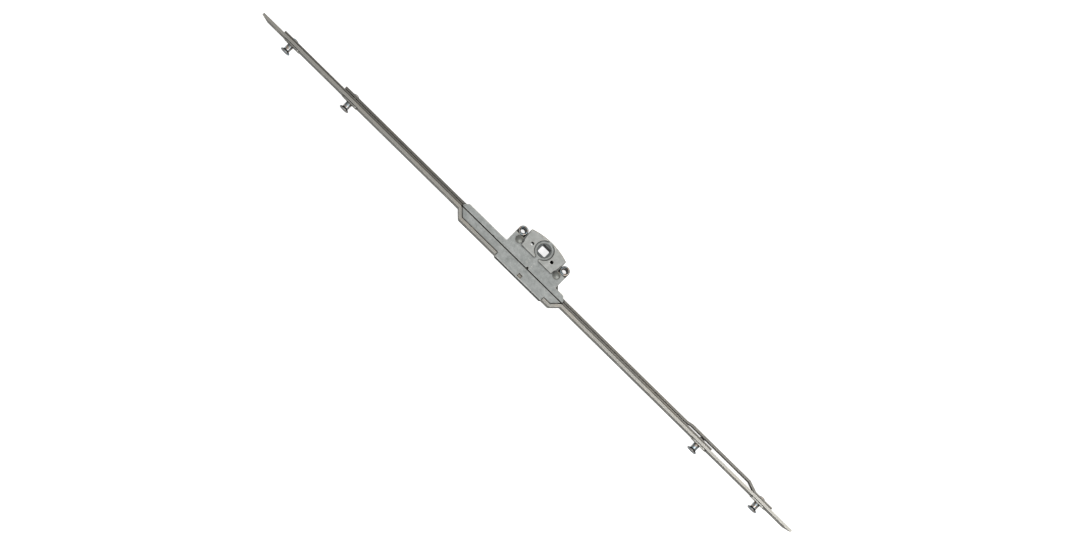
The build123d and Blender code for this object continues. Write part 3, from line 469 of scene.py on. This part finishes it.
def rollers():
    """Mushroom pins, each with a riveted dome behind the rod, a shank and a head that flares like a trumpet,
    and the sleeves that turn on them."""
    for index in range(1, 5):
        pin, sleeve = f"roller_pin_{index}", f"roller_sleeve_{index}"
        low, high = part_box(pin)
        sleeve_low, sleeve_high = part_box(sleeve)
        middle = ((low.x + high.x) / 2, 0, 0)
        head_r = (high.x - low.x) / 2
        neck_r = (sleeve_high.x - sleeve_low.x) / 2
        rod_back = high.y - DOME_HEIGHT
        ball_r = (DOME_R ** 2 + DOME_HEIGHT ** 2) / (2 * DOME_HEIGHT)
        lean = degrees(atan2(DOME_R, ball_r - DOME_HEIGHT))
        flare_start = sleeve_low.y - SLEEVE_END_PLAY
        flare = flare_start - low.y - RIM_EDGE
        reach = head_r - RIM_EDGE / 3 - neck_r
        profile = arc((0, high.y - ball_r), ball_r, 90, 90 - lean)
        profile += [(PIN_R, rod_back), (PIN_R, flare_start), (neck_r - NECK_EASE, flare_start)]
        for step in range(1, FLARE_STEPS + 1):
            share = step / FLARE_STEPS
            profile.append((neck_r + reach * share ** FLARE_OUT, flare_start - flare * share ** FLARE_ALONG))
        profile += arc((head_r - RIM_EDGE / 2, low.y + RIM_EDGE / 2), RIM_EDGE / 2, 50, -90)
        profile += [(head_r - DISH_RIM, low.y), (head_r - DISH_FLOOR, low.y + DISH), (0, low.y + DISH)]
        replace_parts(turned(f"{pin}_turned", profile, middle, (0, 1, 0), pin), pin)
        ring = [(PIN_R + SLEEVE_PLAY, sleeve_low.y), (PIN_R + SLEEVE_PLAY, sleeve_high.y)]
        ring += arc((neck_r - NECK_EASE, sleeve_high.y - NECK_EASE), NECK_EASE, 90, 0, 4)
        ring += arc((neck_r - NECK_EASE, sleeve_low.y + NECK_EASE), NECK_EASE, 0, -90, 4)
        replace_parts(turned(f"{sleeve}_turned", ring, middle, (0, 1, 0), sleeve, closed=True), sleeve)


def screw_bushes():
    """Steel bushes for the handle's screws, with a rounded flange and countersunk ends."""
    for side in ("left", "right"):
        node = f"screw_bush_{side}"
        low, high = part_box(node)
        middle = (low + high) / 2
        flange_r = (high.x - low.x) / 2
        ring = [(BUSH_BORE_R, low.z + MOUTH), (BUSH_BORE_R, high.z - 2 * MOUTH)]
        ring.append((BUSH_BORE_R + MOUTH, high.z))
        ring += arc((flange_r - BUSH_EDGE, high.z - BUSH_EDGE), BUSH_EDGE, 90, 0, 5)
        ring += [(flange_r, high.z - BUSH_FLANGE), (BUSH_R, high.z - BUSH_FLANGE), (BUSH_R, low.z),
                 (BUSH_BORE_R + MOUTH, low.z)]
        piece = turned(f"{node}_turned", ring, (middle.x, middle.y, 0), (0, 0, 1), node, closed=True)
        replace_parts(piece, node)


def casing_rivets():
    """Headed rivets through the casing, with a low dome and a flat shoulder round it."""
    low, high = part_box("case_rivets")
    head_r = (high.y - low.y) / 2
    head_low = high.z - CASE_RIVET_HEAD
    profile = [(0, low.z), (CASE_RIVET_R, low.z), (CASE_RIVET_R, head_low), (head_r, head_low)]
    profile += arc((head_r - SHOULDER, head_low + SHOULDER / 2), SHOULDER / 2, 0, 90, 4)
    profile += [(head_r * out, high.z - CASE_RIVET_HEAD * down) for out, down in CROWN] + [(0, high.z)]
    for side, middle in (("right", high.x - head_r), ("left", low.x + head_r)):
        centre = (middle, (low.y + high.y) / 2, 0)
        piece = turned(f"case_rivet_{side}", profile, centre, (0, 0, 1), "case_rivets")
        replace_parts(piece, "case_rivets")


def grown(name, places, tree, values, node):
    """Runs a Geometry Nodes tree on points, with its named inputs set, and keeps the plain mesh it makes."""
    points = bpy.data.meshes.new(name)
    points.from_pydata(places, [], [])
    seed = bpy.data.objects.new(name, points)
    bpy.context.scene.collection.objects.link(seed)
    modifier = seed.modifiers.new("grown", "NODES")
    modifier.node_group = tree
    for entry in tree.interface.items_tree:
        if entry.name in values and entry.in_out == "INPUT":
            modifier[entry.identifier] = values[entry.name]
    seed.update_tag()
    bpy.context.view_layer.update()
    new_piece(name, applied(seed), node)


def new_tree(name, inputs):
    """An empty Geometry Nodes tree with a geometry input and output and the named sizes."""
    tree = bpy.data.node_groups.new(name, "GeometryNodeTree")
    tree.interface.new_socket("Geometry", in_out="INPUT", socket_type="NodeSocketGeometry")
    for entry in inputs:
        tree.interface.new_socket(entry, in_out="INPUT", socket_type="NodeSocketFloat")
    tree.interface.new_socket("Geometry", in_out="OUTPUT", socket_type="NodeSocketGeometry")
    return tree, add_node(tree, "NodeGroupInput").outputs


def finish_tree(tree, sizes, shape, finish):
    """Sets the shape on every point, makes it real geometry and gives it its finish."""
    set_out = add_node(tree, "GeometryNodeInstanceOnPoints", {"Points": sizes["Geometry"],
                                                              "Instance": shape})
    real = add_node(tree, "GeometryNodeRealizeInstances", {"Geometry": set_out.outputs["Instances"]})
    smooth = add_node(tree, "GeometryNodeSetShadeSmooth", {"Geometry": real.outputs["Geometry"]})
    coated = add_node(tree, "GeometryNodeSetMaterial", {"Geometry": smooth.outputs["Geometry"],
                                                        "Material": finish})
    add_node(tree, "NodeGroupOutput", {"Geometry": coated.outputs["Geometry"]})


def slot_rims():
    """The pressed collar round each roller's slot: a rounded bead that follows the slot's long oval."""
    tree, sizes = new_tree("slot_rim", ("Length", "Width", "Bead", "Height"))
    oval = add_node(tree, "GeometryNodeCurvePrimitiveQuadrilateral", {"Width": sizes["Length"],
                                                                      "Height": sizes["Width"]})
    # a little under half the width, so that the two fillets of each end don't meet
    corner = add_node(tree, "ShaderNodeMath", {0: sizes["Width"], 1: 0.4999}, operation="MULTIPLY")
    ends = add_node(tree, "GeometryNodeFilletCurve", {"Curve": oval.outputs["Curve"], "Count": 12,
                                                      "Radius": corner.outputs["Value"]}, mode="POLY")
    upright = add_node(tree, "GeometryNodeTransform", {"Geometry": ends.outputs["Curve"],
                                                       "Rotation": (pi / 2, 0, 0)})
    section = add_node(tree, "GeometryNodeCurvePrimitiveCircle", {"Resolution": 16, "Radius": 1.0})
    shape = add_node(tree, "ShaderNodeCombineXYZ", {"X": sizes["Height"], "Y": sizes["Bead"], "Z": 1.0})
    pressed = add_node(tree, "GeometryNodeTransform", {"Geometry": section.outputs["Curve"],
                                                       "Scale": shape.outputs["Vector"]})
    bead = add_node(tree, "GeometryNodeCurveToMesh", {"Curve": upright.outputs["Geometry"],
                                                      "Profile Curve": pressed.outputs["Geometry"]})
    # the bead takes the plate's steel drawn lighter, a painted highlight
    finish_tree(tree, sizes, bead.outputs["Mesh"], rim_highlight_finish)
    places = [(x, PLATE_FRONT, 0) for x in SLOT_XS]
    values = {"Length": SLOT_LENGTH + RIM_WALL, "Width": SLOT_WIDTH + RIM_WALL,
              "Bead": RIM_WALL / 2 + RIM_COVER, "Height": RIM_HEIGHT - RIM_COVER}
    grown("slot_rims", places, tree, values, "faceplate")


def bush_threads():
    """The thread inside each handle screw bush, as one ridge that winds down the bore."""
    tree, sizes = new_tree("bush_thread", ("Radius", "Depth", "Ridge", "Turns"))
    winding = add_node(tree, "GeometryNodeCurveSpiral", {"Resolution": 24, "Rotations": sizes["Turns"],
                                                         "Start Radius": sizes["Radius"],
                                                         "End Radius": sizes["Radius"],
                                                         "Height": sizes["Depth"]})
    section = add_node(tree, "GeometryNodeCurvePrimitiveCircle", {"Resolution": 6, "Radius": sizes["Ridge"]})
    ridge = add_node(tree, "GeometryNodeCurveToMesh", {"Curve": winding.outputs["Curve"],
                                                       "Profile Curve": section.outputs["Curve"]})
    ridge.inputs["Fill Caps"].default_value = True
    finish_tree(tree, sizes, ridge.outputs["Mesh"], finishes["bright_zinc"])
    places = []
    for side in ("left", "right"):
        low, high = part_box(f"screw_bush_{side}")
        places.append(((low.x + high.x) / 2, (low.y + high.y) / 2, low.z + MOUTH))
    depth = high.z - low.z - 2 * MOUTH    # the same in both bushes
    values = {"Radius": BUSH_BORE_R, "Depth": depth, "Ridge": THREAD_RIDGE, "Turns": depth / THREAD_PITCH}
    grown("bush_threads", places, tree, values, "screw_bush_left")


def ejector_marks():
    """Four faint round marks on the cover, where pins pushed the casting out of its die."""
    tree, sizes = new_tree("ejector_mark", ("Radius", "Rise"))
    pip = add_node(tree, "GeometryNodeMeshUVSphere", {"Segments": 20, "Rings": 10,
                                                      "Radius": sizes["Radius"]})
    flat = add_node(tree, "ShaderNodeMath", {0: sizes["Rise"], 1: sizes["Radius"]}, operation="DIVIDE")
    shape = add_node(tree, "ShaderNodeCombineXYZ", {"X": 1.0, "Y": 1.0, "Z": flat.outputs["Value"]})
    low_pip = add_node(tree, "GeometryNodeTransform", {"Geometry": pip.outputs["Mesh"],
                                                       "Scale": shape.outputs["Vector"]})
    finish_tree(tree, sizes, low_pip.outputs["Geometry"], finishes["zinc_casting"])
    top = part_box("spindle_hub")[1].z
    places = [(x, y, top) for x in MARK_XS for y in MARK_YS]
    grown("ejector_marks", places, tree, {"Radius": MARK_R, "Rise": MARK_RISE}, "gear_cover")


def photo_camera():
    """Looks almost straight down on the lying lock, turned so that the faceplate runs as in the photo."""
    towards = Vector((0, -sin(TILT), cos(TILT)))
    across = Vector((0, cos(TILT), sin(TILT)))
    right = cos(BAR_SLOPE) * Vector((1, 0, 0)) + sin(BAR_SLOPE) * across
    up = -sin(BAR_SLOPE) * Vector((1, 0, 0)) + cos(BAR_SLOPE) * across
    distance = PHOTO[0] * METRES_PER_PIXEL * LENS / SENSOR
    spindle = Vector((0, 0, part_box("gear_cover")[1].z))
    middle = (spindle - right * (SPINDLE_PIXEL[0] - PHOTO[0] / 2) * METRES_PER_PIXEL
              - up * (PHOTO[1] / 2 - SPINDLE_PIXEL[1]) * METRES_PER_PIXEL)
    lens = bpy.data.cameras.new("photo_camera")
    lens.lens = LENS
    lens.sensor_width = SENSOR
    lens.clip_end = CAMERA_REACH
    camera = bpy.data.objects.new("photo_camera", lens)
    bpy.context.scene.collection.objects.link(camera)
    heading = Matrix((right, up, towards)).transposed().to_4x4()
    camera.matrix_world = Matrix.Translation(middle + towards * distance) @ heading
    bpy.context.scene.camera = camera


def lamp(name, place, size, power, colour):
    """A soft square lamp that points at the gearbox."""
    light = bpy.data.lights.new(name, "AREA")
    light.shape = "SQUARE"
    light.size = size
    light.energy = power
    light.color = linear(colour)[:3]
    holder = bpy.data.objects.new(name, light)
    bpy.context.scene.collection.objects.link(holder)
    holder.location = place
    holder.rotation_euler = (-Vector(place)).to_track_quat("-Z", "Y").to_euler()


def kinds_of_ray(tree):
    """Two factors for a ray: it comes straight from the camera, or by way of a mirror or glass."""
    rays = add_node(tree, "ShaderNodeLightPath").outputs
    mirrored = add_node(tree, "ShaderNodeMath", {0: rays["Is Glossy Ray"], 1: rays["Is Transmission Ray"]},
                        operation="MAXIMUM")
    return rays["Is Camera Ray"], mirrored.outputs["Value"]


def white_floor():
    """A sheet of white paper under the lock. It takes shadows, and it glows a little to look white."""
    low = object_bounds()[0][2]
    mesh = bpy.data.meshes.new("studio_floor")
    corners = [(x * FLOOR_HALF, y * FLOOR_HALF, low) for x, y in ((-1, -1), (1, -1), (1, 1), (-1, 1))]
    mesh.from_pydata(corners, [], [(0, 1, 2, 3)])
    floor = bpy.data.objects.new("studio_floor", mesh)
    bpy.context.scene.collection.objects.link(floor)
    paper = bpy.data.materials.new("white_paper")
    paper.use_nodes = True
    tree = paper.node_tree
    tree.nodes.clear()
    matt = add_node(tree, "ShaderNodeBsdfDiffuse", {"Color": linear(PAPER)})
    direct, mirrored = kinds_of_ray(tree)
    shown = add_node(tree, "ShaderNodeMath", {0: direct, 1: mirrored}, operation="MAXIMUM")
    lift = add_node(tree, "ShaderNodeMath", {0: shown.outputs["Value"], 1: FLOOR_LIFT}, operation="MULTIPLY")
    glow = add_node(tree, "ShaderNodeEmission", {"Strength": lift.outputs["Value"]})
    both = add_node(tree, "ShaderNodeAddShader", {0: matt.outputs["BSDF"], 1: glow.outputs["Emission"]})
    add_node(tree, "ShaderNodeOutputMaterial", {"Surface": both.outputs["Shader"]})
    mesh.materials.append(paper)


def light_tent():
    """A white tent that the camera sees as plain white. In its light, its ends and its foot are darker."""
    world = bpy.data.worlds.new("light_tent")
    world.use_nodes = True
    tree = world.node_tree
    tree.nodes.clear()
    direction = add_node(tree, "ShaderNodeTexCoord").outputs["Generated"]
    parts = add_node(tree, "ShaderNodeSeparateXYZ", {"Vector": direction}).outputs
    endwise = add_node(tree, "ShaderNodeMath", {0: parts["X"], 1: parts["X"]}, operation="MULTIPLY")
    ends = add_node(tree, "ShaderNodeMapRange", {"Value": endwise.outputs["Value"], "To Min": 1.0,
                                                 "To Max": TENT_END})
    upwards = add_node(tree, "ShaderNodeMapRange", {"Value": parts["Z"], "From Max": TENT_HIGH,
                                                    "To Min": TENT_LOW, "To Max": 1.0})
    tent = add_node(tree, "ShaderNodeMath", {0: ends.outputs["Result"], 1: upwards.outputs["Result"]},
                    operation="MULTIPLY")
    direct, mirrored = kinds_of_ray(tree)
    lit = add_node(tree, "ShaderNodeMapRange", {"Value": mirrored, "To Min": TENT_FILL,
                                                "To Max": TENT_GLEAM})
    level = add_node(tree, "ShaderNodeMath", {0: tent.outputs["Value"], 1: lit.outputs["Result"]},
                     operation="MULTIPLY")
    strength = add_node(tree, "ShaderNodeMix", {0: direct, 2: level.outputs["Value"], 3: 1.0},
                        data_type="FLOAT")
    room = add_node(tree, "ShaderNodeBackground", {"Color": linear("#ffffff"),
                                                   "Strength": strength.outputs[0]})
    add_node(tree, "ShaderNodeOutputWorld", {"Surface": room.outputs["Background"]})
    bpy.context.scene.world = world


dress_cad_nodes()
rounded("faceplate", radius=0.5 * MM, half_width=PLATE_HALF, small=0.2 * MM)
rounded("gear_case", radius=0.25 * MM)
rounded("gear_cover", radius=0.12 * MM)
rounded("front_case", radius=0.25 * MM)
rounded("spindle_hub", radius=0.2 * MM)
for rod in ("front_rod_left", "front_rod_right", "rear_rod_left", "rear_rod_right"):
    rounded(rod, radius=0.35 * MM, half_width=ROD_HALF, small=0.15 * MM)
rollers()
screw_bushes()
casing_rivets()
slot_rims()
bush_threads()
ejector_marks()
photo_camera()
white_floor()
light_tent()
for settings in LAMPS:
    lamp(*settings)
bpy.context.scene.view_settings.view_transform = "Standard"
